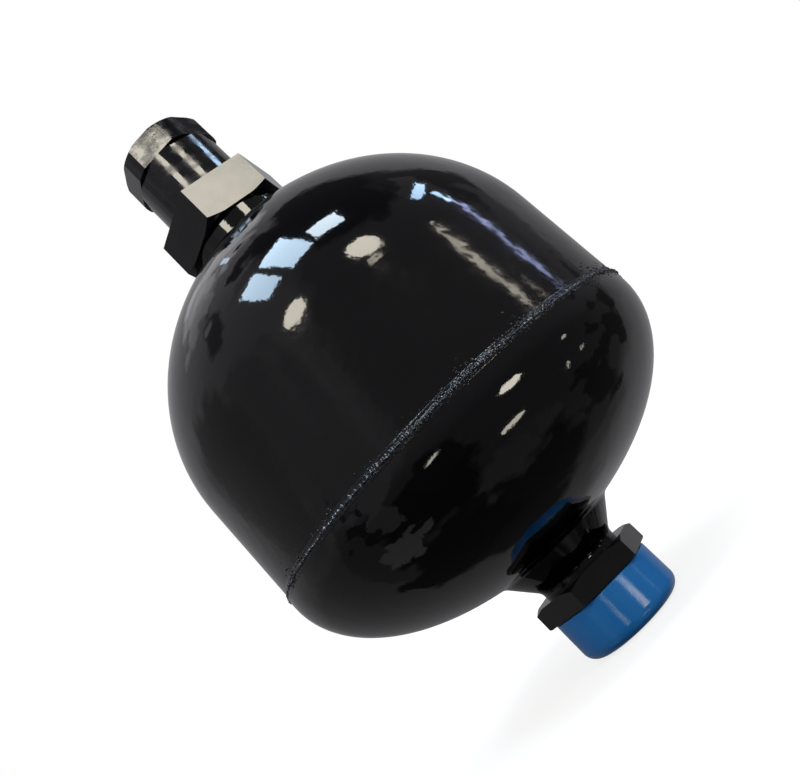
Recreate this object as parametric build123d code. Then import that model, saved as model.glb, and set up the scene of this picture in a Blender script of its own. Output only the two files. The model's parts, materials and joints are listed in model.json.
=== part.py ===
from build123d import *
from math import asin, degrees, radians, sqrt, tan
import os

# A welded bladder accumulator, 0.75 litre class, standing on its fluid end.
# The axis of the vessel is Z, the gas end is up, and z = 0 is the outer face of the port cap.
# Millimetres throughout.

# ---- fits ---------------------------------------------------------------------------------
FACE_GAP = 0.3          # space left between a cap's mouth and the hexagon behind it
THREAD_FIT = 0.05       # radial space in a screwed joint
STEM_FIT = 0.15         # radial space of the gas stem in the shell's hole
RUN_FIT = 0.05          # radial space of a sliding rod in its guide
SEAT_FIT = 0.05         # space left at a closed valve seat
RING_FIT = 0.05         # space round a sealing ring in its groove

# ---- port cap -------------------------------------------------------------------------------
CAP_FLOOR = 2.0         # thickness of the moulded end wall
CAP_WALL = 1.95         # wall over the thread
CAP_EDGE = 3.2          # rounding of the outer edge
CAP_LIP = 0.4           # rounding of the mouth

# ---- port body --------------------------------------------------------------------------------
PORT_THREAD_R = 13.2    # male connection thread, outside radius
PORT_THREAD_LEN = 10.7
PORT_THREAD_CHAMFER = 1.2
PORT_HEX_AF = 30.0      # across flats
PORT_HEX_T = 5.6
PORT_HEX_SPIN = -20.0   # angle of one corner, from the front
PORT_HEX_FACE_R = 16.8  # end face toward the cap is turned to this radius
PORT_HEX_TOP_R = 15.6   # end face toward the neck
PORT_HEX_EDGE = 0.5     # rounding of the six corners
SHANK_R = 9.0           # shank screwed into the shell's neck
SHANK_LEN = 12.6
PORT_BORE_R = 8.4       # open bore below the web
CHAMBER_R = 6.6         # spring chamber above the web
THROAT_R = 5.6          # bore under the seat
THROAT_LEN = 3.2
SEAT_R = 7.0            # mouth of the 45 degree seat
WEB_T = 4.0
WEB_HOLES = 6
WEB_HOLE_R = 1.35
WEB_HOLE_PITCH_R = 4.9
BUSH_R = 3.0
BUSH_COLLAR_R = 3.4
BUSH_COLLAR_T = 0.8
SHANK_RING_R = 0.9      # section radius of the shank's sealing ring
SHANK_RING_DEPTH = 1.7  # depth of its groove
SHANK_RING_DROP = 2.4   # centre of the groove below the shank's end

# ---- poppet --------------------------------------------------------------------------------------
POPPET_LIFT = 4.5
POPPET_STEM_R = 2.0
POPPET_HEAD_R = 7.6
POPPET_RIM = 0.8
POPPET_CROWN = 0.9      # height of the domed top
POPPET_NUT_AF = 7.0
POPPET_NUT_T = 2.4
POPPET_WASHER_R = 3.3
POPPET_WASHER_T = 0.8
POPPET_TAIL = 0.8       # thread standing out below the nut
POPPET_WIRE_R = 0.42
POPPET_COIL_R = 3.95
POPPET_TURNS = 6

# ---- shell ---------------------------------------------------------------------------------------
SHELL_BORE_R = 55.1     # inside radius of both halves
LOWER_WALL = 5.4
UPPER_WALL = 5.0
LOWER_STRAIGHT = 2.44   # straight part below the girth weld
LOWER_DEPTH = 35.0      # depth of the fluid dome, outside
UPPER_STRAIGHT = 30.6
UPPER_DEPTH = 53.6
NECK_R = 12.0           # neck at the port hexagon
NECK_STRAIGHT = 2.1     # straight length of the neck
NECK_TAPER = 41.0       # then it widens toward the dome at this angle
NECK_FLARE = 2.5        # fillets at both ends of the taper
LOWER_DOME_Z = 61.0     # equator of the fluid dome
BOSS_R = 17.3           # boss under the stem nut
BOSS_TOP = 5.3          # boss top above the crown of the gas dome
BOSS_FLARE = 3.6
STEM_SINK = 0.6         # chamfer at the mouths of the stem's hole

# ---- girth weld ------------------------------------------------------------------------------------
WELD_ROOT = 1.0         # thickness of the root face
WELD_ANGLE = 15.0       # slope of each prepared edge
WELD_CROWN = 0.45       # height of the cap pass
RING_T = 1.5            # backing ring
RING_UP = 6.0           # the ring stands this far into the gas half

# ---- gas stem --------------------------------------------------------------------------------------
STEM_R = 11.0
STEM_FLANGE_R = 15.5
STEM_FLANGE_T = 3.0
STEM_BORE_R = 3.0
STEM_ABOVE_NUT = 8.7
NUT_AF = 36.0
NUT_T = 13.1
NUT_SPIN = -9.5
NUT_FACE_R = 18.7       # lower face of the nut is turned to this radius
HEX_CHAMFER = 30.0

# ---- bladder ---------------------------------------------------------------------------------------
BLADDER_SIDE = 4.6      # space to the shell's wall at the widest circle
BLADDER_DROP = 3.3      # widest circle below the equator of the gas dome
BLADDER_OVER = 2.5      # top of the bag above the underside of the flange
BLADDER_HANG = 4.9      # space to the open poppet
BLADDER_WALL = 2.0
BLADDER_FLOOR = 2.8
BLADDER_SEAT_SIDE = 1.25    # space round the rubber neck on its seat
BLADDER_GASKET = 2.5    # rubber between flange and boss
BLADDER_LIP = 2.0       # rubber under the flange
BLADDER_MOUTH_R = 4.5

# ---- gas valve ---------------------------------------------------------------------------------------
VALVE_SHANK_R = 4.8
VALVE_SHANK_LEN = 14.0
VALVE_HEX_AF = 14.0
VALVE_HEX_T = 3.0
VALVE_NOSE_R = 3.85
VALVE_NOSE_LEN = 7.5
VALVE_CHAMBER_R = 2.6
VALVE_SEAT_DEPTH = 16.5     # from the nose down to the seat
VALVE_PASSAGE_R = 1.5
VALVE_RING_R = 0.65
VALVE_RING_PITCH_R = 5.8
PIN_R = 0.8
PIN_HEAD_R = 2.1
PIN_HEAD_T = 1.2
PIN_SEAL_R = 1.95
PIN_SEAL_T = 0.8
PIN_TRAVEL = 1.5
PIN_BELOW_NOSE = 0.5
PIN_TAIL = 2.6
CLIP_T = 0.8
CLIP_BORE_R = 1.0
CLIP_LIFT = 0.6
VALVE_WIRE_R = 0.2
VALVE_COIL_R = 1.6
VALVE_TURNS = 4

# ---- valve seal cap --------------------------------------------------------------------------------------
SEAL_CAP_R = 5.5
SEAL_CAP_TOP = 1.8
SEAL_CAP_GRIPS = 16
SEAL_CAP_GRIP_R = 0.45
GASKET_T = 1.0

# ---- protective cap ------------------------------------------------------------------------------------------
GUARD_R = 14.4
GUARD_COLLAR_R = 15.3
GUARD_COLLAR_LEN = 8.7
GUARD_HEX_AF = 28.5
GUARD_HEX_SPIN = -2.5       # angle of the middle of one flat, from the front
GUARD_LEN = 27.1
GUARD_TOP = 4.1
GUARD_BORE_R = 10.3
GUARD_EDGE = 0.7

# ---- heights, from the standing face up -----------------------------------------------------------------------
PORT_END_Z = CAP_FLOOR
PORT_HEX_Z = PORT_END_Z + PORT_THREAD_LEN
NECK_Z = PORT_HEX_Z + PORT_HEX_T
PORT_TOP_Z = NECK_Z + SHANK_LEN
WELD_Z = LOWER_DOME_Z + LOWER_STRAIGHT
UPPER_DOME_Z = WELD_Z + UPPER_STRAIGHT
CROWN_Z = UPPER_DOME_Z + UPPER_DEPTH
BOSS_Z = CROWN_Z + BOSS_TOP
LOWER_R = SHELL_BORE_R + LOWER_WALL
UPPER_R = SHELL_BORE_R + UPPER_WALL
BLADDER_R = SHELL_BORE_R - BLADDER_SIDE
BLADDER_NECK_R = STEM_FLANGE_R + BLADDER_WALL

# the seat inside the boss is cut where the gas dome is just wide enough for the rubber neck
BOSS_SEAT_R = BLADDER_NECK_R + BLADDER_SEAT_SIDE
BOSS_SEAT_Z = UPPER_DOME_Z + (UPPER_DEPTH - UPPER_WALL) * sqrt(1 - (BOSS_SEAT_R / SHELL_BORE_R) ** 2)
NUT_TOP_Z = BOSS_Z + NUT_T
STEM_TOP_Z = NUT_TOP_Z + STEM_ABOVE_NUT
FLANGE_TOP_Z = BOSS_SEAT_Z - BLADDER_GASKET
FLANGE_Z = FLANGE_TOP_Z - STEM_FLANGE_T
VALVE_HEX_TOP_Z = STEM_TOP_Z + VALVE_HEX_T
VALVE_NOSE_Z = VALVE_HEX_TOP_Z + VALVE_NOSE_LEN
VALVE_BOTTOM_Z = STEM_TOP_Z - VALVE_SHANK_LEN
VALVE_SEAT_Z = VALVE_NOSE_Z - VALVE_SEAT_DEPTH
GUARD_Z = NUT_TOP_Z + FACE_GAP
GUARD_TOP_Z = GUARD_Z + GUARD_LEN

# the seat cone is 45 degrees, so its depth is the difference of its radii
THROAT_TOP_Z = PORT_TOP_Z - (SEAT_R - THROAT_R)
CHAMBER_TOP_Z = THROAT_TOP_Z - THROAT_LEN
WEB_TOP_Z = PORT_HEX_Z + WEB_T
HEAD_FACE_R = THROAT_R - 2 * POPPET_WIRE_R       # flat under the head, smaller than the throat
HEAD_DROP = SEAT_R - HEAD_FACE_R                 # flat lies this far below the seat's mouth
HEAD_CLOSED_Z = PORT_TOP_Z - HEAD_DROP + SEAT_FIT * sqrt(2)
HEAD_Z = HEAD_CLOSED_Z + POPPET_LIFT
RIM_Z = HEAD_Z + POPPET_HEAD_R - HEAD_FACE_R
POPPET_TOP_Z = RIM_Z + POPPET_RIM + POPPET_CROWN
WASHER_TOP_Z = WEB_TOP_Z - WEB_T - BUSH_COLLAR_T

BLADDER_Z = UPPER_DOME_Z - BLADDER_DROP
BLADDER_UP = FLANGE_Z + BLADDER_OVER - BLADDER_Z
BLADDER_DOWN = BLADDER_Z - POPPET_TOP_Z - BLADDER_HANG


# ---- helpers ------------------------------------------------------------------------------------------------
def turned(outline):
    """Solid turned about Z from corners given as (radius, height)."""
    face = make_face(Polyline(*outline, close=True))
    return revolve(Plane.XZ * face, Axis.Z)


def turned_curves(*curves):
    """Solid turned about Z from joined curves in (radius, height)."""
    face = make_face(Curve() + list(curves))
    return revolve(Plane.XZ * face, Axis.Z)


def quarter_down(equator, radius, depth):
    """Quarter ellipse from the pole under the equator out to the equator."""
    return EllipticalCenterArc((0, equator), radius, depth, start_angle=270, arc_size=90)


def quarter_up(equator, radius, depth):
    """Quarter ellipse from the equator in to the pole above it."""
    return EllipticalCenterArc((0, equator), radius, depth, start_angle=0, arc_size=90)


def domed(radius, low, rise):
    """Arc from a rim in to the axis, centred on the axis, that rises by the given height."""
    round_r = (radius ** 2 + rise ** 2) / (2 * rise)
    span = degrees(asin(radius / round_r))
    return CenterArc((0, low + rise - round_r), round_r, 90 - span, span)


def rod(radius, low, high, centre=(0, 0)):
    """Cylinder along Z between two heights."""
    place = Pos(centre[0], centre[1], low)
    return place * Cylinder(radius, high - low, align=(Align.CENTER, Align.CENTER, Align.MIN))


def tube(outer, inner, low, high):
    """Ring along Z between two heights."""
    return rod(outer, low, high) - rod(inner, low, high)


def hexagon(across_flats, low, high, corner_angle):
    """Hexagonal prism; the corner angle is counted from the front (-Y) toward +X."""
    outline = RegularPolygon(across_flats / 2, 6, major_radius=False)
    turn = corner_angle - 90
    return Pos(0, 0, low) * extrude(Rot(0, 0, turn) * outline, high - low)


def turned_ends(across_flats, low, high, face_r, below, above):
    """Blank that a hexagon is cut from: full corners with a turned cone at the chosen ends."""
    corner_r = across_flats / sqrt(3) + 0.5
    drop = (corner_r - face_r) * tan(radians(HEX_CHAMFER))
    outline = [(0, low)]
    outline += [(face_r, low), (corner_r, low + drop)] if below else [(corner_r, low)]
    outline += [(corner_r, high - drop), (face_r, high)] if above else [(corner_r, high)]
    outline += [(0, high)]
    return turned(outline)


def level_edges(solid, low, high):
    """Edges that lie level, between two heights."""
    def between(edge):
        box = edge.bounding_box()
        return box.size.Z < 0.001 and low < box.min.Z < high
    return solid.edges().filter_by(between)


def ring(pitch_r, section_r, height):
    """Sealing ring of round section."""
    return Pos(0, 0, height) * Torus(pitch_r, section_r)


def coil(coil_r, wire_r, low, high, turns):
    """Open coil spring whose wire ends rest just inside the two seats."""
    start, finish = low + wire_r, high - wire_r
    path = Pos(0, 0, start) * Helix((finish - start) / turns, finish - start, coil_r)
    section = Plane(origin=path @ 0, z_dir=path % 0) * Circle(wire_r)
    return sweep(section, path=path, is_frenet=True)


# ---- shell halves ----------------------------------------------------------------------------------------------
def lower_shell():
    """Fluid half: straight skirt, dome and flared neck in one forging, bored for the port body."""
    depth_in = LOWER_DEPTH - LOWER_WALL
    face = LOWER_DOME_Z
    slope = tan(radians(WELD_ANGLE))
    root = SHELL_BORE_R + WELD_ROOT
    solid = turned_curves(
        quarter_down(face, LOWER_R, LOWER_DEPTH),
        Polyline((LOWER_R, face), (LOWER_R, WELD_Z - (LOWER_R - root) * slope),
                 (root, WELD_Z), (0, WELD_Z), (0, face - LOWER_DEPTH)),
    )
    rise = LOWER_DEPTH * 0.25
    neck_high = face - LOWER_DEPTH + rise
    taper_z = NECK_Z + NECK_STRAIGHT
    neck = turned([(0, NECK_Z), (NECK_R, NECK_Z), (NECK_R, taper_z),
                   (NECK_R + (neck_high - taper_z) * tan(radians(NECK_TAPER)), neck_high), (0, neck_high)])
    solid = solid + neck
    solid = fillet(level_edges(solid, NECK_Z + 1, face - 1), NECK_FLARE)
    hollow = turned_curves(
        quarter_down(face, SHELL_BORE_R, depth_in),
        Polyline((SHELL_BORE_R, face), (SHELL_BORE_R, WELD_Z), (0, WELD_Z), (0, face - depth_in)),
    )
    return solid - hollow - rod(SHANK_R + THREAD_FIT, NECK_Z, face)


def upper_shell():
    """Gas half: straight wall, deep dome and a faced boss for the stem."""
    depth_in = UPPER_DEPTH - UPPER_WALL
    face = UPPER_DOME_Z
    slope = tan(radians(WELD_ANGLE))
    root = SHELL_BORE_R + WELD_ROOT
    solid = turned_curves(
        Polyline((0, CROWN_Z), (0, WELD_Z), (root, WELD_Z),
                 (UPPER_R, WELD_Z + (UPPER_R - root) * slope), (UPPER_R, face)),
        quarter_up(face, UPPER_R, UPPER_DEPTH),
    )
    solid = solid + rod(BOSS_R, BOSS_SEAT_Z, BOSS_Z)
    solid = fillet(level_edges(solid, face + 1, BOSS_Z - 1), BOSS_FLARE)
    hollow = turned_curves(
        Polyline((0, face + depth_in), (0, WELD_Z), (SHELL_BORE_R, WELD_Z), (SHELL_BORE_R, face)),
        quarter_up(face, SHELL_BORE_R, depth_in),
    )
    hollow = hollow & rod(SHELL_BORE_R + 1, WELD_Z, BOSS_SEAT_Z)
    hole = STEM_R + STEM_FIT
    sink = turned([(0, BOSS_Z - STEM_SINK), (hole, BOSS_Z - STEM_SINK), (hole + STEM_SINK, BOSS_Z), (0, BOSS_Z)])
    return solid - hollow - rod(hole, BOSS_SEAT_Z - 1, BOSS_Z) - sink


def girth_weld():
    """Weld run that fills the V between the halves and stands a little proud of both."""
    slope = tan(radians(WELD_ANGLE))
    root = SHELL_BORE_R + WELD_ROOT
    low = (LOWER_R, WELD_Z - (LOWER_R - root) * slope)
    high = (UPPER_R, WELD_Z + (UPPER_R - root) * slope)
    crown = (LOWER_R + WELD_CROWN, WELD_Z)
    return turned_curves(Polyline(high, (root, WELD_Z), low), ThreePointArc(low, crown, high))


def weld_backing_ring():
    """Flat ring inside the joint that backs the weld and keeps spatter off the bladder."""
    outer = SHELL_BORE_R - RING_FIT
    return tube(outer, outer - RING_T, LOWER_DOME_Z, WELD_Z + RING_UP)


# ---- bladder and stem ------------------------------------------------------------------------------------------
def bladder():
    """Closed rubber bag, moulded round the stem's flange, hanging clear of the open poppet."""
    z = BLADDER_Z
    bag = turned_curves(
        quarter_down(z, BLADDER_R, BLADDER_DOWN),
        quarter_up(z, BLADDER_R, BLADDER_UP),
        Line((0, z + BLADDER_UP), (0, z - BLADDER_DOWN)),
    )
    bag = bag + rod(BLADDER_NECK_R, z, BOSS_SEAT_Z)
    inner_r = BLADDER_R - BLADDER_WALL
    up, down = BLADDER_UP - BLADDER_WALL, BLADDER_DOWN - BLADDER_FLOOR
    space = turned_curves(
        quarter_down(z, inner_r, down),
        quarter_up(z, inner_r, up),
        Line((0, z + up), (0, z - down)),
    )
    space = space & rod(BLADDER_R, z - BLADDER_DOWN, FLANGE_Z - BLADDER_LIP)
    bag = bag - space - rod(BLADDER_MOUTH_R, z, FLANGE_Z)
    bag = bag - rod(STEM_FLANGE_R, FLANGE_Z, FLANGE_TOP_Z)
    return bag - rod(STEM_R, FLANGE_TOP_Z, BOSS_SEAT_Z)


def gas_stem():
    """Steel stem with a flange for the rubber, a long male thread and a seat for the gas valve."""
    valve_bore = VALVE_SHANK_R + THREAD_FIT
    ring_out = VALVE_RING_PITCH_R + VALVE_RING_R + RING_FIT
    ring_floor = STEM_TOP_Z - 2 * VALVE_RING_R - RING_FIT
    return turned([
        (STEM_BORE_R, FLANGE_Z), (STEM_FLANGE_R, FLANGE_Z), (STEM_FLANGE_R, FLANGE_TOP_Z),
        (STEM_R, FLANGE_TOP_Z), (STEM_R, STEM_TOP_Z - 1.0), (STEM_R - 1.0, STEM_TOP_Z),
        (ring_out, STEM_TOP_Z), (ring_out, ring_floor), (valve_bore, ring_floor),
        (valve_bore, VALVE_BOTTOM_Z - FACE_GAP), (STEM_BORE_R, VALVE_BOTTOM_Z - FACE_GAP),
    ])


def stem_lock_nut():
    """Tall hexagon nut that draws the stem's flange against the boss."""
    blank = turned_ends(NUT_AF, BOSS_Z, NUT_TOP_Z, NUT_FACE_R, True, False)
    nut = hexagon(NUT_AF, BOSS_Z, NUT_TOP_Z, NUT_SPIN) & blank
    return nut - rod(STEM_R + THREAD_FIT, BOSS_Z, NUT_TOP_Z)


# ---- gas valve -------------------------------------------------------------------------------------------------
def gas_valve_body():
    """Valve insert: screwed shank, hexagon and a threaded nose, bored for the pin."""
    body = turned([
        (VALVE_CHAMBER_R, VALVE_BOTTOM_Z), (VALVE_SHANK_R, VALVE_BOTTOM_Z), (VALVE_SHANK_R, STEM_TOP_Z),
        (VALVE_NOSE_R, STEM_TOP_Z), (VALVE_NOSE_R, VALVE_NOSE_Z - 0.5), (VALVE_NOSE_R - 0.5, VALVE_NOSE_Z),
        (VALVE_PASSAGE_R, VALVE_NOSE_Z), (VALVE_PASSAGE_R, VALVE_SEAT_Z), (VALVE_CHAMBER_R, VALVE_SEAT_Z),
    ])
    face_r = VALVE_HEX_AF / 2 - 0.2
    head = hexagon(VALVE_HEX_AF, STEM_TOP_Z, VALVE_HEX_TOP_Z, 0) & turned_ends(
        VALVE_HEX_AF, STEM_TOP_Z, VALVE_HEX_TOP_Z, face_r, False, True)
    return body + (head - rod(VALVE_NOSE_R - 0.5, STEM_TOP_Z, VALVE_HEX_TOP_Z))


def gas_valve_ring():
    """Sealing ring in the recess of the stem, under the valve's hexagon."""
    return ring(VALVE_RING_PITCH_R, VALVE_RING_R, STEM_TOP_Z - VALVE_RING_R - RING_FIT / 2)


def pin_levels():
    """Heights of the pin's head: underside and top, with the seal on top of it."""
    top = VALVE_SEAT_Z - SEAT_FIT - PIN_SEAL_T
    return top - PIN_HEAD_T, top


def gas_valve_pin():
    """Pin that is pressed down to let gas in; its head carries the seal."""
    low, top = pin_levels()
    return turned([
        (0, low - PIN_TAIL), (PIN_R - 0.2, low - PIN_TAIL), (PIN_R, low - PIN_TAIL + 0.2), (PIN_R, low),
        (PIN_HEAD_R, low), (PIN_HEAD_R, top), (PIN_R, top),
        (PIN_R, VALVE_NOSE_Z - PIN_BELOW_NOSE - 0.3), (PIN_R - 0.3, VALVE_NOSE_Z - PIN_BELOW_NOSE),
        (0, VALVE_NOSE_Z - PIN_BELOW_NOSE),
    ])


def gas_valve_seal():
    """Flat rubber washer on the pin's head."""
    top = pin_levels()[1]
    return tube(PIN_SEAL_R, PIN_R, top, top + PIN_SEAL_T)


def gas_valve_clip():
    """Pressed ring in the end of the valve body that carries the spring."""
    low = VALVE_BOTTOM_Z + CLIP_LIFT
    return tube(VALVE_CHAMBER_R, CLIP_BORE_R, low, low + CLIP_T)


def gas_valve_spring():
    """Light spring that holds the pin shut."""
    return coil(VALVE_COIL_R, VALVE_WIRE_R, VALVE_BOTTOM_Z + CLIP_LIFT + CLIP_T, pin_levels()[0], VALVE_TURNS)


def seal_cap_top():
    """Outer height of the seal cap: nose, gasket and the cap's end wall."""
    return VALVE_NOSE_Z + GASKET_T + SEAL_CAP_TOP


def valve_seal_cap():
    """Small cap screwed over the valve's nose, with finger grips round its skirt."""
    low, high = VALVE_HEX_TOP_Z + FACE_GAP, seal_cap_top()
    inner = VALVE_NOSE_R + THREAD_FIT
    cap = turned([
        (inner, low), (SEAL_CAP_R, low), (SEAL_CAP_R, high - 0.6), (SEAL_CAP_R - 0.6, high),
        (0, high), (0, high - SEAL_CAP_TOP), (inner, high - SEAL_CAP_TOP),
    ])
    for i in range(SEAL_CAP_GRIPS):
        turn = Rot(0, 0, 360 * i / SEAL_CAP_GRIPS)
        cap = cap - turn * rod(SEAL_CAP_GRIP_R, low, high - 1.2, (SEAL_CAP_R + 0.1, 0))
    return cap


def seal_cap_gasket():
    """Rubber disc between the valve's nose and the end of the seal cap."""
    return rod(VALVE_NOSE_R - RING_FIT, VALVE_NOSE_Z, VALVE_NOSE_Z + GASKET_T)


def protective_cap():
    """Turned steel cap screwed on the stem; a short hexagon at its closed end takes the spanner."""
    collar_z = GUARD_TOP_Z - GUARD_COLLAR_LEN
    thread = STEM_R + THREAD_FIT
    relief = STEM_TOP_Z + FACE_GAP
    flats = hexagon(GUARD_HEX_AF, collar_z, GUARD_TOP_Z, GUARD_HEX_SPIN + 30)
    collar = flats & turned([
        (0, collar_z), (GUARD_COLLAR_R, collar_z), (GUARD_COLLAR_R, GUARD_TOP_Z - GUARD_EDGE),
        (GUARD_COLLAR_R - GUARD_EDGE, GUARD_TOP_Z), (0, GUARD_TOP_Z)])
    body = turned([
        (0, GUARD_Z), (GUARD_R - 0.4, GUARD_Z), (GUARD_R, GUARD_Z + 0.4), (GUARD_R, collar_z), (0, collar_z)])
    space = turned([
        (0, GUARD_Z), (thread, GUARD_Z), (thread, relief), (GUARD_BORE_R, relief + (thread - GUARD_BORE_R)),
        (GUARD_BORE_R, GUARD_TOP_Z - GUARD_TOP), (0, GUARD_TOP_Z - GUARD_TOP)])
    return body + collar - space


# ---- fluid port ------------------------------------------------------------------------------------------------
def port_body():
    """Screwed port: male connection, thin hexagon, shank, and inside it the web and the poppet's seat."""
    web_z = WEB_TOP_Z - WEB_T
    groove_z = PORT_TOP_Z - SHANK_RING_DROP
    groove_half = SHANK_RING_R + RING_FIT
    chamfer = PORT_THREAD_CHAMFER
    outside = turned([
        (0, PORT_END_Z), (PORT_THREAD_R - chamfer, PORT_END_Z), (PORT_THREAD_R, PORT_END_Z + chamfer),
        (PORT_THREAD_R, PORT_HEX_Z), (SHANK_R, PORT_HEX_Z), (SHANK_R, groove_z - groove_half),
        (SHANK_R - SHANK_RING_DEPTH, groove_z - groove_half), (SHANK_R - SHANK_RING_DEPTH, groove_z + groove_half),
        (SHANK_R, groove_z + groove_half), (SHANK_R, PORT_TOP_Z), (0, PORT_TOP_Z)])
    flats = hexagon(PORT_HEX_AF, PORT_HEX_Z, NECK_Z, PORT_HEX_SPIN)
    flats = fillet(flats.edges().filter_by(Axis.Z), PORT_HEX_EDGE)
    flats = flats & turned_ends(PORT_HEX_AF, PORT_HEX_Z, NECK_Z, PORT_HEX_FACE_R, True, False)
    flats = flats & turned_ends(PORT_HEX_AF, PORT_HEX_Z, NECK_Z, PORT_HEX_TOP_R, False, True)
    lower = turned([
        (0, PORT_END_Z), (PORT_BORE_R + 0.6, PORT_END_Z), (PORT_BORE_R, PORT_END_Z + 0.6),
        (PORT_BORE_R, web_z), (0, web_z)])
    upper = turned([
        (0, WEB_TOP_Z), (CHAMBER_R, WEB_TOP_Z), (CHAMBER_R, CHAMBER_TOP_Z), (THROAT_R, CHAMBER_TOP_Z + 1.0),
        (THROAT_R, THROAT_TOP_Z), (SEAT_R, PORT_TOP_Z), (0, PORT_TOP_Z)])
    body = outside + flats - lower - upper - rod(BUSH_R, web_z, WEB_TOP_Z)
    for i in range(WEB_HOLES):
        turn = Rot(0, 0, 360 * i / WEB_HOLES)
        body = body - turn * rod(WEB_HOLE_R, web_z, WEB_TOP_Z, (WEB_HOLE_PITCH_R, 0))
    return body


def port_ring():
    """Sealing ring in the shank's groove, against the bore of the neck."""
    inner = SHANK_R - SHANK_RING_DEPTH
    return ring((inner + SHANK_R + THREAD_FIT) / 2, (SHANK_R + THREAD_FIT - inner) / 2 - RING_FIT,
                PORT_TOP_Z - SHANK_RING_DROP)


def guide_bush():
    """Bronze bush pressed in the web; its collar is the stop for the poppet's washer."""
    web_z = WEB_TOP_Z - WEB_T
    bore = POPPET_STEM_R + RUN_FIT
    return turned([
        (bore, WASHER_TOP_Z), (BUSH_COLLAR_R, WASHER_TOP_Z), (BUSH_COLLAR_R, web_z), (BUSH_R, web_z),
        (BUSH_R, WEB_TOP_Z), (bore, WEB_TOP_Z)])


def poppet():
    """Mushroom valve that stands open until the bladder pushes it down on its seat."""
    top = RIM_Z + POPPET_RIM
    tail = WASHER_TOP_Z - POPPET_WASHER_T - POPPET_NUT_T - POPPET_TAIL
    return turned_curves(
        Polyline((0, POPPET_TOP_Z), (0, tail), (POPPET_STEM_R - 0.3, tail), (POPPET_STEM_R, tail + 0.3),
                 (POPPET_STEM_R, HEAD_Z), (HEAD_FACE_R, HEAD_Z), (POPPET_HEAD_R, RIM_Z), (POPPET_HEAD_R, top)),
        domed(POPPET_HEAD_R, top, POPPET_CROWN),
    )


def poppet_spring():
    """Spring between the web and the head that holds the poppet open."""
    return coil(POPPET_COIL_R, POPPET_WIRE_R, WEB_TOP_Z, HEAD_Z, POPPET_TURNS)


def poppet_washer():
    """Washer under the guide bush that stops the lift."""
    return tube(POPPET_WASHER_R, POPPET_STEM_R + THREAD_FIT, WASHER_TOP_Z - POPPET_WASHER_T, WASHER_TOP_Z)


def poppet_lock_nut():
    """Small nut on the end of the poppet's stem."""
    high = WASHER_TOP_Z - POPPET_WASHER_T
    low = high - POPPET_NUT_T
    nut = hexagon(POPPET_NUT_AF, low, high, 0) & turned_ends(
        POPPET_NUT_AF, low, high, POPPET_NUT_AF / 2 - 0.1, True, False)
    return nut - rod(POPPET_STEM_R + THREAD_FIT, low, high)


def port_cap():
    """Moulded cap pushed over the connection thread; its flat end is what the vessel stands on."""
    inner = PORT_THREAD_R + THREAD_FIT
    outer = inner + CAP_WALL
    mouth = PORT_HEX_Z - FACE_GAP
    cap = rod(outer, 0, mouth)
    cap = fillet(cap.edges().group_by(Axis.Z)[0], CAP_EDGE)
    cap = fillet(cap.edges().group_by(Axis.Z)[-1], CAP_LIP)
    return cap - rod(inner, CAP_FLOOR, mouth)


PIECES = {
    "lower_shell": (lower_shell, Color(0.03, 0.03, 0.04)),
    "upper_shell": (upper_shell, Color(0.04, 0.04, 0.05)),
    "girth_weld": (girth_weld, Color(0.05, 0.05, 0.05)),
    "weld_backing_ring": (weld_backing_ring, Color(0.4, 0.4, 0.4)),
    "bladder": (bladder, Color(0.02, 0.02, 0.02)),
    "gas_stem": (gas_stem, Color(0.6, 0.6, 0.6)),
    "stem_lock_nut": (stem_lock_nut, Color(0.05, 0.05, 0.06)),
    "gas_valve_body": (gas_valve_body, Color(0.7, 0.55, 0.25)),
    "gas_valve_ring": (gas_valve_ring, Color(0.02, 0.02, 0.02)),
    "gas_valve_pin": (gas_valve_pin, Color(0.7, 0.55, 0.25)),
    "gas_valve_seal": (gas_valve_seal, Color(0.02, 0.02, 0.02)),
    "gas_valve_clip": (gas_valve_clip, Color(0.5, 0.5, 0.5)),
    "gas_valve_spring": (gas_valve_spring, Color(0.5, 0.5, 0.5)),
    "valve_seal_cap": (valve_seal_cap, Color(0.7, 0.55, 0.25)),
    "seal_cap_gasket": (seal_cap_gasket, Color(0.02, 0.02, 0.02)),
    "protective_cap": (protective_cap, Color(0.05, 0.05, 0.06)),
    "port_body": (port_body, Color(0.05, 0.05, 0.06)),
    "port_ring": (port_ring, Color(0.02, 0.02, 0.02)),
    "guide_bush": (guide_bush, Color(0.7, 0.45, 0.2)),
    "poppet": (poppet, Color(0.6, 0.6, 0.6)),
    "poppet_spring": (poppet_spring, Color(0.5, 0.5, 0.5)),
    "poppet_washer": (poppet_washer, Color(0.5, 0.5, 0.5)),
    "poppet_lock_nut": (poppet_lock_nut, Color(0.5, 0.5, 0.5)),
    "port_cap": (port_cap, Color(0.1, 0.35, 0.7)),
}

os.makedirs("parts", exist_ok=True)
for name, (make, colour) in PIECES.items():
    piece = make()
    solids = piece.solids()
    piece = solids[0] if len(solids) == 1 else Compound(children=list(solids))
    piece.label = name
    piece.color = colour
    export_step(piece, f"parts/{name}.step")
    box = piece.bounding_box()
    print(f"{name:20s} {len(solids)} solid  volume {piece.volume:10.1f}  "
          f"z {box.min.Z:7.2f} to {box.max.Z:7.2f}  r {box.max.X:6.2f}")
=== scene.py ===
"""Bladder accumulator: a welded steel bottle in gloss black paint, with its gas valve
cap at the top and a blue plastic plug cap over the fluid port at the bottom.
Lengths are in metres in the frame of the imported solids: +Z runs to the gas end."""

import json
import math

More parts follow.
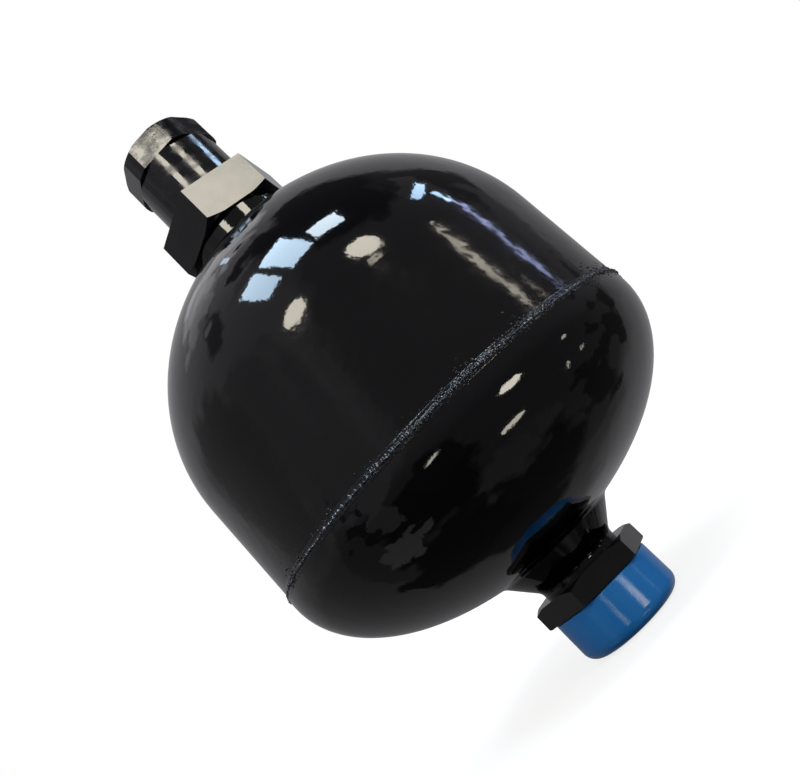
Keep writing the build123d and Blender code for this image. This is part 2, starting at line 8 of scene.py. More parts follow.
import bpy
import numpy as np
from mathutils import Matrix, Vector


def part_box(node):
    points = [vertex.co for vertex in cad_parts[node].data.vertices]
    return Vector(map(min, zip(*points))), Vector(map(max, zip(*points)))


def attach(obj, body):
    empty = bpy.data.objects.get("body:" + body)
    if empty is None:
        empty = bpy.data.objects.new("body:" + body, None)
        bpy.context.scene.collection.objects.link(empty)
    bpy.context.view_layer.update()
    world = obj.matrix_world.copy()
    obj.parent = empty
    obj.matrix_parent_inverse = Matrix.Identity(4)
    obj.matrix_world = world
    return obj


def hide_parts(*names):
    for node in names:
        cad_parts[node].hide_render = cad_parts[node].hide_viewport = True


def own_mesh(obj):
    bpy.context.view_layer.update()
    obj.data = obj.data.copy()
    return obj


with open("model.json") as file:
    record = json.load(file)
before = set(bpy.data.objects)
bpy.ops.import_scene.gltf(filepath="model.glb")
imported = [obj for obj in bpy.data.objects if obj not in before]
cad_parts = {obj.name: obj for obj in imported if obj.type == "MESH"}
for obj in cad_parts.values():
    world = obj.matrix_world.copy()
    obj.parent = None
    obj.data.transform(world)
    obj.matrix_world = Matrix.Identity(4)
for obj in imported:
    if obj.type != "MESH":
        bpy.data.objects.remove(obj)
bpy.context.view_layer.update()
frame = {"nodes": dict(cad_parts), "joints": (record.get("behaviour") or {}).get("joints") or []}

# ---------------------------------------------------------------- lower and upper shell
# Two deep-drawn steel pressings, the lower one with the fluid neck and the upper one
# with the gas boss. They are sprayed as one bottle in gloss black, so the coat has a
# fine orange peel, and is rougher on the straight wall that the rolls have marked.

WELD_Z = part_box("upper_shell")[0][2]
WALL_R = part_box("upper_shell")[1][0]
BOTTLE_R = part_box("lower_shell")[1][0]
WALL_TOP_Z = WELD_Z + 0.0306
COAT_DARK, COAT_PALE = (0.0006, 0.0006, 0.0009), (0.0014, 0.0013, 0.0019)
FINE_RELIEF, PEEL_RELIEF, RIPPLE_RELIEF = 0.000010, 0.000012, 0.00007


class Signal:
    """A shader socket that adds, subtracts and multiplies as a number does: each
    operator becomes the Math node of that operation."""

    def __init__(self, finish, socket):
        self.finish, self.socket = finish, socket

    def math(self, operation, *values):
        sockets = dict(enumerate(values))
        return self.finish.node("Math", {"operation": operation}, sockets)

    def __add__(self, other):
        return self.math("ADD", self, other)

    __radd__ = __add__

    def __sub__(self, other):
        return self.math("SUBTRACT", self, other)

    def __rsub__(self, other):
        return self.math("SUBTRACT", other, self)

    def __mul__(self, other):
        return self.math("MULTIPLY", self, other)

    __rmul__ = __mul__

    def above(self, edge, width):
        """0 below edge, 1 above edge + width, and a straight rise between."""
        return self.finish.node(
            "MapRange", {"clamp": True},
            {"Value": self, "From Min": edge, "From Max": edge + width},
        )


class Finish:
    """A material or world being wired. Its constants go on the shader's own sockets."""

    def __init__(self, name, owner=None, shader="Principled BSDF", **constants):
        self.owner = owner or bpy.data.materials.new(name)
        self.owner.use_nodes = True
        self.tree = self.owner.node_tree
        self.shader = self.tree.nodes[shader]
        for socket, value in constants.items():
            self.shader.inputs[socket.replace("_", " ")].default_value = value

    def node(self, kind, settings=None, sockets=None, output=0):
        """Adds a node: its settings first, then a value or a link on each socket."""
        made = self.tree.nodes.new("ShaderNode" + kind)
        for key, value in (settings or {}).items():
            if key == "stops":
                while len(made.color_ramp.elements) < len(value):
                    made.color_ramp.elements.new(1.0)
                for stop, (place, colour) in zip(made.color_ramp.elements, value):
                    stop.position, stop.color = place, (*colour, 1.0)
            else:
                setattr(made, key, value)
        for key, value in (sockets or {}).items():
            if isinstance(value, Signal):
                self.tree.links.new(value.socket, made.inputs[key])
            else:
                made.inputs[key].default_value = value
        return Signal(self, made.outputs[output])

    def place(self, stretch=(1.0, 1.0, 1.0)):
        """The point on the piece, in metres, times a stretch along each axis."""
        point = self.node("TexCoord", output="Object")
        return self.node("Mapping", None, {"Vector": point, "Scale": stretch})

    def noise(self, per_metre, detail=2.0, rough=0.5, stretch=(1.0, 1.0, 1.0)):
        """Cloudy noise round 0.5, with this many cells to the metre."""
        return self.node(
            "TexNoise", None,
            {"Vector": self.place(stretch), "Scale": per_metre,
             "Detail": detail, "Roughness": rough},
        )

    def height(self):
        """The point's height above the closed face of the blue cap."""
        return self.node("SeparateXYZ", None, {0: self.place()}, output="Z")

    def tint(self, share, low, high):
        """A colour between low and high, by share."""
        return self.node(
            "ValToRGB", {"stops": [(0.0, low), (1.0, high)]}, {"Fac": share})

    def bump(self, height, distance, under=None):
        """A normal tilted by the height's slope, distance metres from 0 to 1, over the
        normal that an earlier bump gives."""
        sockets = {"Height": height, "Distance": distance, "Strength": 1.0}
        if under:
            sockets["Normal"] = under
        return self.node("Bump", None, sockets)

    def wire(self, **signals):
        """Links signals to the shader's sockets."""
        for socket, signal in signals.items():
            self.tree.links.new(
                signal.socket, self.shader.inputs[socket.replace("_", " ")])
        return self.owner


def dress(material, *nodes):
    """Puts a material on every slot of these CAD nodes."""
    for name in nodes:
        for place in frame["nodes"][name].material_slots:
            place.material = material


def bottle_paint():
    """Black base with a faint cloud, fine grain and orange peel all over, and longer
    ripples on the straight wall. The ripples fade out over the foot of the dome."""
    paint = Finish("gloss_black_paint", IOR=1.5)
    cloud = paint.noise(60.0, detail=3.0)
    height = paint.height()
    dome = height.above(WALL_TOP_Z - 0.004, 0.012)
    wall = height.above(WELD_Z, 0.0005) * (1.0 - dome)
    peel = paint.noise(420.0, detail=1.0)
    fine = paint.noise(900.0, detail=1.0)
    ripple = paint.noise(260.0, detail=1.2)
    relief = paint.bump(fine, FINE_RELIEF, paint.bump(peel, PEEL_RELIEF))
    relief = paint.bump(ripple * wall, RIPPLE_RELIEF, relief)
    return paint.wire(
        Base_Color=paint.tint(cloud, COAT_DARK, COAT_PALE),
        Roughness=0.03 + 0.04 * cloud + 0.10 * wall * ripple,
        Normal=relief,
    )


dress(bottle_paint(), "lower_shell", "upper_shell")

# ---------------------------------------------------------------- girth weld
# The run of weld metal that joins the two pressings, laid while the bottle turns, so
# that each freezing pool leaves a ripple. Spatter sticks on and beside it, mostly above,
# and the same black coat covers all of it.

BEAD_HEIGHT, BEAD_HALF_WIDTH = 0.00027, 0.00048
RUN_POINTS = 4096          # points round the bottle
RUN_RIPPLES = 360          # frozen pools round the bottle
RUN_WANDER = 0.00013       # the middle line's, up and down
RUN_OFFSETS = 1e-3 * np.array([0.06, 0.17, 0.30, 0.46, 0.66, 0.92, 1.21, 1.30])
RUN_BACK_POINTS, RUN_BACK_DEPTH = 4, 0.0012
WIDTH_SPREAD, CROWN_SPREAD = 0.26, 0.5
RIPPLE_DEPTH = 0.22        # share of the crown
RIPPLE_LAG, RIPPLE_DRIFT = 1.8, 2.2
STEP_WIDTH = 0.0009        # over which one shell's radius turns into the other's
COAT_LIFT, EDGE_TUCK, EDGE_FROM = 0.000012, 0.00006, 0.00125


def add_piece(name, verts, faces, material, body):
    """A mesh object at the origin from an array of points and a list of faces'
    corners, shaded smooth."""
    mesh = bpy.data.meshes.new(name)
    mesh.from_pydata(verts.tolist(), [], faces)
    mesh.polygons.foreach_set("use_smooth", np.full(len(faces), True))
    mesh.materials.append(material)
    mesh.update()
    made = bpy.data.objects.new(name, mesh)
    bpy.context.scene.collection.objects.link(made)
    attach(made, body)
    return made


def grid_faces(across, along, closed=False):
    """Corners of the four-sided faces of a grid of points. Its last column joins its
    first one, and so does its last row where it is closed."""
    rows = np.arange(along if closed else along - 1)
    row, column = np.meshgrid(rows, np.arange(across), indexing="ij")
    near, far = row * across, (row + 1) % along * across
    after = (column + 1) % across
    corners = [near + column, near + after, far + after, far + column]
    return np.stack(corners, -1).reshape(-1, 4)


def fan_faces(first, across, tip):
    """Corners of the triangles between one row of a grid, from its first point, and a
    tip."""
    column = np.arange(across)
    corners = [first + column, first + (column + 1) % across, np.full(across, tip)]
    return np.stack(corners, -1)


def waves(angle, seed, low, high):
    """A smooth random line round the bottle: the sum of 24 cosines of whole numbers of
    waves, with a random phase each, scaled to a spread of about 1."""
    count = 24
    draw = np.random.default_rng(seed)
    turns = draw.integers(low, high, count)[:, None]
    phase = draw.uniform(0, 2 * np.pi, count)[:, None]
    line = np.cos(turns * angle.reshape(1, -1) + phase).sum(0) / math.sqrt(count / 2)
    return line.reshape(angle.shape)


def weld_run():
    """Radius = the wall, stepped by a half cosine from the lower shell to the upper
    one, + crown * (1 - t^2), where t is the distance from the bead's middle line over
    its half width. Crown, half width and middle line wander by the smooth random lines,
    and the crown also has a cosine ripple whose crests lag by t^2, as the pool's tail
    does. Both edges tuck in under the paint, and a back inside the wall closes it."""
    angle = np.linspace(0, 2 * np.pi, RUN_POINTS, endpoint=False)[:, None]
    offset = np.concatenate([-RUN_OFFSETS[::-1], RUN_OFFSETS])[None, :]
    middle = RUN_WANDER * waves(angle, seed=3, low=3, high=70)
    width = 1 + WIDTH_SPREAD * waves(angle, seed=11, low=60, high=420)
    crown = 1 + CROWN_SPREAD * waves(angle, seed=5, low=120, high=600)
    width, crown = np.clip(width, 0.4, 1.7), np.clip(crown, 0.15, 2.2)
    t = (offset - middle) / (BEAD_HALF_WIDTH * width)
    lag = RIPPLE_LAG * t**2 + RIPPLE_DRIFT * waves(angle, seed=8, low=20, high=110)
    ripple = 1 + RIPPLE_DEPTH * np.cos(RUN_RIPPLES * angle + lag)
    bead = BEAD_HEIGHT * crown * ripple * np.clip(1 - t**2, 0, 1)
    share = np.clip(0.5 - offset / STEP_WIDTH, 0, 1)
    wall = WALL_R + (BOTTLE_R - WALL_R) * (0.5 - 0.5 * np.cos(np.pi * share))
    coat = np.where(np.abs(offset) > EDGE_FROM, -EDGE_TUCK, COAT_LIFT)
    back = (RUN_POINTS, RUN_BACK_POINTS)
    radius = np.concatenate(
        [wall + bead + coat, np.full(back, WALL_R - RUN_BACK_DEPTH)], 1)
    back_offset = np.linspace(0.9, -0.9, RUN_BACK_POINTS)[None, :] * RUN_OFFSETS[-1]
    height = WELD_Z + np.concatenate(
        [np.broadcast_to(offset, bead.shape), np.broadcast_to(back_offset, back)], 1)
    verts = np.stack([radius * np.cos(angle), radius * np.sin(angle), height], -1)
    faces = grid_faces(radius.shape[1], RUN_POINTS, closed=True)[:, ::-1]
    return verts.reshape(-1, 3), faces.tolist()


def weld_paint():
    """The bottle's black over rough metal: paler on the grain's crests, and its gloss
    more broken."""
    paint = Finish("weld_run_paint", IOR=1.5)
    grain = paint.noise(1300.0, detail=1.5)
    cloud = paint.noise(160.0, detail=2.0)
    return paint.wire(
        Base_Color=paint.tint(grain, (0.0015, 0.0015, 0.0022), (0.010, 0.010, 0.013)),
        Roughness=0.03 + 0.09 * cloud,
        Normal=paint.bump(grain, 0.00013),
    )


coarse_black = weld_paint()
run = add_piece("weld_run", *weld_run(), coarse_black, "vessel")
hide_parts("girth_weld")

DROPS_THROWN, DROPS_KEPT = 13000, 3900
DROP_RINGS, DROP_SPOKES = 3, 8
DROP_SMALLEST, DROP_SPREAD = 0.00010, 0.00028
DROP_REACH, DROP_FARTHEST = 0.00075, 0.0045
ABOVE_SHARE, ON_RUN_SHARE = 0.5, 0.3
BUNCH_AT, BUNCH_WIDTH = -0.35, 0.4      # radians, the first one from +X


def spatter():
    """Each drop is a flattened half ball with its centre just inside the wall. The drops
    bunch round the bottle by a smooth random line and by one bell curve. Half of them
    lie above the run and a fifth below it, at distances that fall off as an exponential,
    and the rest lie on it. Their size is a cubed draw."""
    draw = np.random.default_rng(21)
    angle = draw.uniform(-np.pi, np.pi, DROPS_THROWN)
    bell = np.exp(-(((angle - BUNCH_AT) / BUNCH_WIDTH) ** 2))
    bunch = 0.22 + 0.25 * waves(angle, seed=17, low=4, high=60) + 0.8 * bell
    angle = angle[draw.random(len(angle)) < bunch][:DROPS_KEPT]
    count = len(angle)
    off = draw.exponential(DROP_REACH, count).clip(0, DROP_FARTHEST)
    place = draw.random(count)
    beside = np.where(place < ABOVE_SHARE, 0.0002 + off, -0.0004 - 0.5 * off)
    on_run = place > 1 - ON_RUN_SHARE
    height = WELD_Z + np.where(on_run, draw.normal(0.00008, 0.00028, count), beside)
    size = (DROP_SMALLEST + DROP_SPREAD * draw.random(count) ** 3)[:, None]
    base = np.where(height > WELD_Z, WALL_R, BOTTLE_R) + 0.00010 * on_run
    flat = draw.uniform(0.5, 1.0, count)[:, None]
    lean = np.linspace(np.pi / 2, 0, DROP_RINGS, endpoint=False)[:, None]
    spin = np.linspace(0, 2 * np.pi, DROP_SPOKES, endpoint=False)[None, :]
    side = np.append(np.sin(lean) * np.cos(spin), 0.0)
    rise = np.append(np.sin(lean) * np.sin(spin), 0.0)
    out = np.append(np.repeat(np.cos(lean), DROP_SPOKES, 1), 1.0)
    radius = base[:, None] + size * (out * flat - 0.25)
    turn = angle[:, None] + size * side / base[:, None]
    height = height[:, None] + size * rise
    verts = np.stack([radius * np.cos(turn), radius * np.sin(turn), height], -1)
    tip = DROP_RINGS * DROP_SPOKES
    start = np.arange(count)[:, None, None] * (tip + 1)
    faces = []
    for part in (grid_faces(DROP_SPOKES, DROP_RINGS),
                 fan_faces(tip - DROP_SPOKES, DROP_SPOKES, tip),
                 np.arange(DROP_SPOKES)[None, ::-1]):
        faces += (start + part).reshape(-1, part.shape[-1]).tolist()
    return verts.reshape(-1, 3), faces


add_piece("weld_spatter", *spatter(), coarse_black, "vessel")

# ---------------------------------------------------------------- nut, cap and port
# The gas stem's lock nut and the fluid port are cut from hexagon bar and turned. The
# protective cap over the gas valve is a turned cup with a hexagon end. All three are
# screwed on and sprayed black with the bottle.


def turned_paint():
    """Black coat over turned steel: faint rings along the height under the gloss."""
    paint = Finish("black_paint_on_turned_steel", IOR=1.5)
    rings = paint.noise(900.0, detail=2.0, stretch=(0.02, 0.02, 1.0))
    cloud = paint.noise(220.0, detail=3.0)
    return paint.wire(
        Base_Color=paint.tint(cloud, (0.003, 0.003, 0.0035), (0.008, 0.0078, 0.009)),
        Roughness=0.08 + 0.10 * cloud,
        Normal=paint.bump(cloud, 0.00003, paint.bump(rings, 0.000008)),
    )


def cap_paint():
    """A thinner coat than the bottle's, so the worked steel makes its gloss patchy."""
    paint = Finish("black_paint_on_cap", IOR=1.5)
    cloud = paint.noise(230.0, detail=3.0, rough=0.6)
    drawn = paint.noise(700.0, detail=3.0, stretch=(1.0, 1.0, 0.12))
    return paint.wire(
        Base_Color=paint.tint(cloud, (0.0015, 0.0015, 0.002), (0.006, 0.0058, 0.0068)),
        Roughness=0.04 + 0.22 * cloud.above(0.40, 0.25),
        Normal=paint.bump(cloud, 0.000025, paint.bump(drawn, 0.00001)),
    )


dress(turned_paint(), "stem_lock_nut", "port_body")
dress(cap_paint(), "protective_cap")

# ---------------------------------------------------------------- blue plug cap
# A cup moulded in soft polyethylene, pushed over the port's thread to keep it clean.
# Its wall leans in toward the closed end, so that it leaves the mould.

DRAFT_SLOPE = 0.06


def blue_plastic():
    """Blue with a cloudy shade, a fine moulded grain, lengthwise scuffs, and a bump that
    rises with the height, which leans the wall's normal by the mould's draft."""
    plastic = Finish("blue_polyethylene", IOR=1.5)
    cloud = plastic.noise(90.0, detail=3.0)
    grain = plastic.noise(1400.0, detail=2.0)
    draft = plastic.bump(plastic.height() * DRAFT_SLOPE, 1.0)
    scuff = plastic.noise(500.0, detail=2.0, stretch=(1.0, 1.0, 0.12))
    return plastic.wire(
        Base_Color=plastic.tint(cloud, (0.010, 0.155, 0.47), (0.020, 0.205, 0.60)),
        Roughness=0.13 + 0.06 * cloud + 0.08 * scuff,
        Normal=plastic.bump(grain, 0.00001, plastic.bump(scuff, 0.00002, draft)),
    )


dress(blue_plastic(), "port_cap")

# ---------------------------------------------------------------- pieces inside
# The stem, the rings, the poppet and its guide, the gas valve and the rubber bladder,
# which the bottle and its caps hide. They are turned steel, spring steel, brass, bronze
# and rubber, none of it painted.


def machined(name, low, high, metallic=1.0, rough=0.3):
    """Metal or rubber with rings left by the tool and a cloudy sheen."""
    metal = Finish(name, Metallic=metallic)
    rings = metal.noise(1200.0, detail=2.0, stretch=(0.05, 0.05, 1.0))
    cloud = metal.noise(150.0, detail=3.0)
    return metal.wire(
        Base_Color=metal.tint(cloud, low, high),
        Roughness=rough + 0.15 * cloud,
        Normal=metal.bump(rings, 0.00001),
    )


dress(machined("turned_steel", (0.42, 0.42, 0.43), (0.58, 0.58, 0.59)),
      "weld_backing_ring", "gas_stem", "port_ring", "poppet", "poppet_washer",
      "poppet_lock_nut")
spring_wire = machined(
    "spring_wire", (0.33, 0.33, 0.35), (0.47, 0.47, 0.49), rough=0.22)
dress(spring_wire, "poppet_spring", "gas_valve_spring", "gas_valve_clip")
dress(machined("brass", (0.58, 0.42, 0.17), (0.74, 0.57, 0.28)),
      "gas_valve_body", "gas_valve_ring", "gas_valve_pin", "valve_seal_cap")
dress(machined("bronze", (0.50, 0.32, 0.15), (0.62, 0.42, 0.22)), "guide_bush")
rubber = machined("black_rubber", (0.012, 0.012, 0.012), (0.024, 0.024, 0.024),
                  metallic=0.0, rough=0.55)
dress(rubber, "bladder", "gas_valve_seal", "seal_cap_gasket")

# ---------------------------------------------------------------- springs
# Two coil springs wound from steel wire, with a closed turn at each end. The large one
# holds the poppet off its seat, and the small one holds the gas valve's pin shut.

# Each row: the spring's node, its valve's joint, the wire's radius and the turns.
SPRINGS = (
    ("poppet_spring", "poppet_slide", 0.00042, 6),
    ("gas_valve_spring", "pin_slide", 0.00020, 4),
)
TRAVEL = {valve["name"]: -valve["range_m"][0] for valve in frame["joints"]}
WIRE_SPOKES, STEPS_PER_TURN = 12, 48
CLOSED_PITCH = 2.04        # of the end turns, in wire radii: they all but touch
END_CLEARANCE = 0.05       # of the wire's radius, to the seat


def wound_wire(coil_r, wire_r, low, high, turns):
    """The middle line is a helix whose height rises by one wire in the first and last
    turn, and evenly between. A circle square to the line is carried along it, and a fan
    of triangles closes each end."""
    turn = np.linspace(0, turns, turns * STEPS_PER_TURN + 1)[:, None]
    seat = (1 + END_CLEARANCE) * wire_r
    span, closed = high - low - 2 * seat, CLOSED_PITCH * wire_r
    rise = np.interp(turn, [0, 1, turns - 1, turns], [0, closed, span - closed, span])
    spin = 2 * np.pi * turn
    out = np.concatenate([np.cos(spin), np.sin(spin), np.zeros_like(spin)], 1)
    line = coil_r * out
    line[:, 2:] = low + seat + rise
    along = np.gradient(line, axis=0)
    along /= np.linalg.norm(along, axis=1)[:, None]
    up = np.cross(along, out)[:, None]
    t = np.linspace(0, 2 * np.pi, WIRE_SPOKES, endpoint=False)[None, :, None]
    skin = line[:, None] + wire_r * (np.cos(t) * out[:, None] + np.sin(t) * up)
    verts = np.concatenate([skin.reshape(-1, 3), line[:1], line[-1:]])
    last = len(verts) - 1
    sides = grid_faces(WIRE_SPOKES, len(turn))
    foot = fan_faces(0, WIRE_SPOKES, last - 1)[:, ::-1]
    head = fan_faces(last - 1 - WIRE_SPOKES, WIRE_SPOKES, last)
    return verts, sides.tolist() + foot.tolist() + head.tolist()


for node, joint, wire_r, turns in SPRINGS:
    low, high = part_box(node)[0][2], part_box(node)[1][2]
    coil_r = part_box(node)[1][0] - wire_r
    travel = TRAVEL[joint]
    coil = wound_wire(coil_r, wire_r, low, high, turns)
    spring = add_piece(node + "_coil", *coil, spring_wire, "vessel")
    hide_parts(node)
    (high - low - travel) / (high - low)
    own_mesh(spring)

# ---------------------------------------------------------------- floor
# A plain pale sheet just under the part. It glows evenly to the camera, keeps the part's
# shadow, and is left out of what the part's gloss reflects.

FLOOR_R, FLOOR_Z = 6.0, -0.0004
FLOOR_RINGS, FLOOR_SPOKES = 12, 96
SHEET_GLOW, SHEET_MIRRORED = 0.80, 0.3


def studio_floor():
    """A flat disc: rings whose radius grows as the square of their number, round a
    point in the middle."""
    turn = np.linspace(0, 2 * np.pi, FLOOR_SPOKES, endpoint=False)
    reach = FLOOR_R * (np.arange(1, FLOOR_RINGS + 1)[:, None] / FLOOR_RINGS) ** 2
    x, y = reach * np.cos(turn), reach * np.sin(turn)
    verts = np.stack([x, y, np.full_like(x, FLOOR_Z)], -1).reshape(-1, 3)
    verts = np.concatenate([verts, [[0, 0, FLOOR_Z]]])
    rings = grid_faces(FLOOR_SPOKES, FLOOR_RINGS)[:, ::-1]
    middle = fan_faces(0, FLOOR_SPOKES, len(verts) - 1)
    mesh = bpy.data.meshes.new("studio_floor")
    mesh.from_pydata(verts.tolist(), [], rings.tolist() + middle.tolist())
    mesh.update()
    made = bpy.data.objects.new("studio_floor", mesh)
    bpy.context.scene.collection.objects.link(made)
    return made


def ray_kinds(finish):
    """1 where a ray comes from the camera, off gloss, or through glass."""
    return [finish.node("LightPath", output=f"Is {kind} Ray")
            for kind in ("Camera", "Glossy", "Transmission")]


floor = studio_floor()
sheet = Finish("pale_floor", Base_Color=(0.3, 0.3, 0.3, 1.0), Roughness=0.9,
               Emission_Color=(1.0, 1.0, 1.0, 1.0))
seen, mirrored, through = ray_kinds(sheet)
sheet.wire(Emission_Strength=SHEET_GLOW * (seen + through) + SHEET_MIRRORED * mirrored)
floor.data.materials.append(sheet.owner)
floor.visible_glossy = False

# ---------------------------------------------------------------- surround
# A white room to the camera. The part's gloss sees dim walls, a lit table behind it and
# soft cards instead, all with wavering edges, and its dull light is an even grey.

# Each row: azimuth, elevation and half width of a round card in degrees, the width of
# its soft edge, and its brightness.
CARDS = (
    (-45, 40, 28, 14, 0.38),
    (-50, 18, 16, 10, 0.27),
    (-92, 22, 17, 8, 0.21),
    (-84, 64, 8, 5, 0.13),
    (-106, 50, 7, 6, 0.42),
    (-85, 80, 7, 4, 0.42),
    (-165, 68, 9, 6, 1.25),
    (-142, 63, 9, 7, 1.1),
    (-122, 60, 5, 7, 0.75),
    (180, 85, 7, 3, 0.07),
    (78, 64, 22, 6, 0.05),
    (100, 78, 8, 4, 0.05),
    (104, 36, 12, 5, 0.09),
    (92, 36, 5, 3, 0.20),
    (150, -8, 22, 12, 0.31),
    (180, -82, 28, 4, 0.04),
    (-110, -68, 18, 4, 0.03),
    (32, -70, 14, 6, 0.17),
    (-32, -42, 25, 6, 0.025),
    (-12, -26, 13, 5, 0.035),
    (-60, 0, 8, 3, 0.045),
    (-60, -19, 7, 3, 0.04),
    (-44, 0, 7, 4, 0.27),
    (-46, -22, 4, 2, 0.20),
    (-73, -49, 5, 2, 0.32),
    (104, 2, 8, 4, 0.06),
    (107, -20, 9, 4, 0.05),
    (108, -42, 11, 4, 0.05),
)
HORIZON = -0.15
WALL_LIGHT, WALL_LIGHT_RISE = 0.12, 0.07
TABLE_LOW_LIGHT, TABLE_HIGH_LIGHT, TABLE_EDGE = 0.17, 0.42, 0.012
TABLE_SIDE, TABLE_FRONT = (-0.469, 0.883, 0.0), (-0.205, 0.863, 0.458)
WAVER = 0.20
PLAIN_LIGHT = 0.45
WHITE, MIRROR_TINT = (1.0, 1.0, 1.0, 1.0), (1.0, 0.98, 1.02, 1.0)


def heading(azimuth, elevation):
    """Unit vector: azimuth turns from the front (-Y) toward +X, elevation lifts it."""
    a, e = math.radians(azimuth), math.radians(elevation)
    return (math.sin(a) * math.cos(e), -math.cos(a) * math.cos(e), math.sin(e))


world = bpy.data.worlds.new("studio_surround")
bpy.context.scene.world = world
surround = Finish("surround", owner=world, shader="Background", Color=WHITE)
straight = surround.node("TexCoord", output="Generated")
cloud = surround.node(
    "TexNoise", None,
    {"Vector": straight, "Scale": 4.5, "Detail": 2.0, "Roughness": 0.45},
    output="Color")
shift = surround.node(
    "VectorMath", {"operation": "SUBTRACT"}, {0: cloud, 1: (0.5, 0.5, 0.5)})
wavering = surround.node(
    "VectorMath", {"operation": "MULTIPLY_ADD"},
    {0: shift, 1: (WAVER, WAVER, WAVER), 2: straight})


def toward(direction):
    """Cosine of the angle between the wavering ray and a direction."""
    return surround.node("VectorMath", {"operation": "DOT_PRODUCT"},
                         {0: wavering, 1: direction}, output="Value")


def laid_over(light, brightness, mask):
    """The light, changed to a brightness where the mask is 1."""
    return light + (brightness - light) * mask


lift = toward((0, 0, 1))
light = WALL_LIGHT + WALL_LIGHT_RISE * lift.above(HORIZON, 0.3)
table_side = toward(TABLE_SIDE).above(-TABLE_EDGE, 2 * TABLE_EDGE)
table_front = toward(TABLE_FRONT).above(-TABLE_EDGE, 2 * TABLE_EDGE)
table_rise = (TABLE_HIGH_LIGHT - TABLE_LOW_LIGHT) * lift.above(HORIZON, 0.65)
light = laid_over(light, TABLE_LOW_LIGHT + table_rise, table_side * table_front)
for azimuth, elevation, half, soft, brightness in CARDS:
    edge = math.cos(math.radians(half + soft))
    card = toward(heading(azimuth, elevation)).above(
        edge, math.cos(math.radians(half)) - edge)
    light = laid_over(light, brightness, card)
seen, mirrored, through = ray_kinds(surround)
plain = (1.0 - seen) * (1.0 - through) * (1.0 - mirrored) * PLAIN_LIGHT
tint = surround.node(
    "Mix", {"data_type": "RGBA"}, {0: mirrored, 6: WHITE, 7: MIRROR_TINT}, output=2)
surround.wire(Color=tint, Strength=seen + through + mirrored * light + plain)

# ---------------------------------------------------------------- lamps
# Windows and ceiling panels as flat lamps, all far off, so that the whole part sees
# each one in the same direction.

SKY, PALE_SKY, FAR_SKY = (0.60, 0.80, 1.0), (0.73, 0.88, 1.0), (0.50, 0.73, 1.0)
CREAM, DUSK = (1.0, 0.94, 0.80), (0.52, 0.60, 1.0)
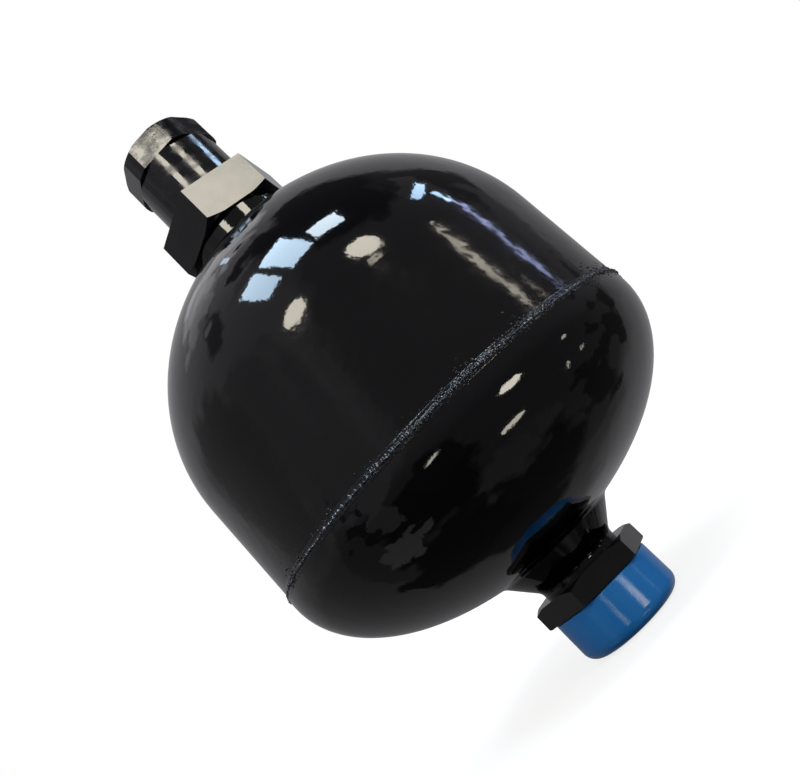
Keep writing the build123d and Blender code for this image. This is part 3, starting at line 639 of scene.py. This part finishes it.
# Each row: name, azimuth and elevation of the lamp from the bottle, its two sides as
# seen from a metre away, the turn of the first side from level, colour and brightness.
LAMPS = (
    ("window_high", 16.2, 67.8, 0.372, 0.225, 99, SKY, 16.0),
    ("window_left", -20.3, 63.3, 0.335, 0.186, 126, SKY, 14.0),
    ("window_right", 49.9, 59.5, 0.226, 0.170, 152, PALE_SKY, 16.5),
    ("window_behind", -158.0, 70.8, 0.110, 0.030, 73, SKY, 3.2),
    ("panel_right", 39.4, 33.8, 0.260, 0.215, -45, CREAM, 13.0),
    ("panel_right_trim", 36.9, 25.0, 0.118, 0.029, 8, CREAM, 7.5),
    ("panel_middle", -9.9, 34.8, 0.250, 0.165, 34, CREAM, 13.0),
    ("panel_side", 73.0, 16.0, 0.190, 0.068, 112, CREAM, 6.5),
    ("panel_side_small", 84.2, 12.0, 0.055, 0.014, -25, CREAM, 5.0),
    ("panel_low_right", 37.0, -16.2, 0.250, 0.130, 5, CREAM, 14.5),
    ("panel_lowest", 32.9, -46.8, 0.215, 0.080, 16, CREAM, 9.5),
    ("panel_low_left", -12.8, -15.8, 0.160, 0.050, 2, CREAM, 8.0),
    ("panel_low_side", 73.5, -11.8, 0.050, 0.038, 13, CREAM, 6.0),
    ("panel_low_far", 74.0, -33.0, 0.090, 0.034, -86, CREAM, 5.5),
    ("panel_low_small", 84.3, -26.0, 0.070, 0.024, 80, CREAM, 4.0),
    ("window_far", 92.0, 35.8, 0.230, 0.062, 14, FAR_SKY, 13.0),
    ("window_far_low", 93.2, 28.0, 0.120, 0.055, 80, FAR_SKY, 14.0),
    ("window_far_strip", 95.0, 19.0, 0.290, 0.030, 105, DUSK, 10.0),
)
LAMP_DISTANCE = 12.0

for name, azimuth, elevation, wide, high, turn, colour, brightness in LAMPS:
    out = np.array(heading(azimuth, elevation))
    level = np.array(heading(azimuth + 90, 0))
    up = np.cross(out, level)
    lean = math.radians(turn)
    turned = np.eye(4)
    turned[:3, 0] = level * math.cos(lean) + up * math.sin(lean)
    turned[:3, 1] = np.cross(out, turned[:3, 0])
    turned[:3, 2], turned[:3, 3] = out, out * LAMP_DISTANCE
    data = bpy.data.lights.new(name, "AREA")
    wide, high = wide * LAMP_DISTANCE, high * LAMP_DISTANCE
    square = name.startswith("window")
    data.shape = "RECTANGLE" if square else "ELLIPSE"
    data.size, data.size_y = wide, high
    data.color = colour
    # A flat lamp's power is pi times its area times its brightness.
    data.energy = brightness * math.pi * wide * high * (1 if square else math.pi / 4)
    lamp = bpy.data.objects.new(name, data)
    bpy.context.scene.collection.objects.link(lamp)
    lamp.matrix_world = Matrix(turned.tolist())
    lamp.visible_camera = False

# ---------------------------------------------------------------- camera
# A short lens close to the bottle's side, rolled so that the gas end points up and to
# the left.

CAMERA_DROP = 0.02843      # below the weld

camera_data = bpy.data.cameras.new("camera")
camera_data.sensor_width, camera_data.lens = 36.0, 34.109
camera_data.shift_x, camera_data.shift_y = 0.03965, 0.01624
camera_data.clip_start, camera_data.clip_end = 0.01, 20.0
camera = bpy.data.objects.new("camera", camera_data)
bpy.context.scene.collection.objects.link(camera)
camera.matrix_world = Matrix((
    (0.69976, 0.71322, 0.04076, 0.0),
    (0.21023, -0.15106, -0.96591, -0.20636),
    (-0.68275, 0.68447, -0.25565, WELD_Z - CAMERA_DROP),
    (0.0, 0.0, 0.0, 1.0),
))
bpy.context.scene.camera = camera
bpy.context.scene.view_settings.view_transform = "Standard"
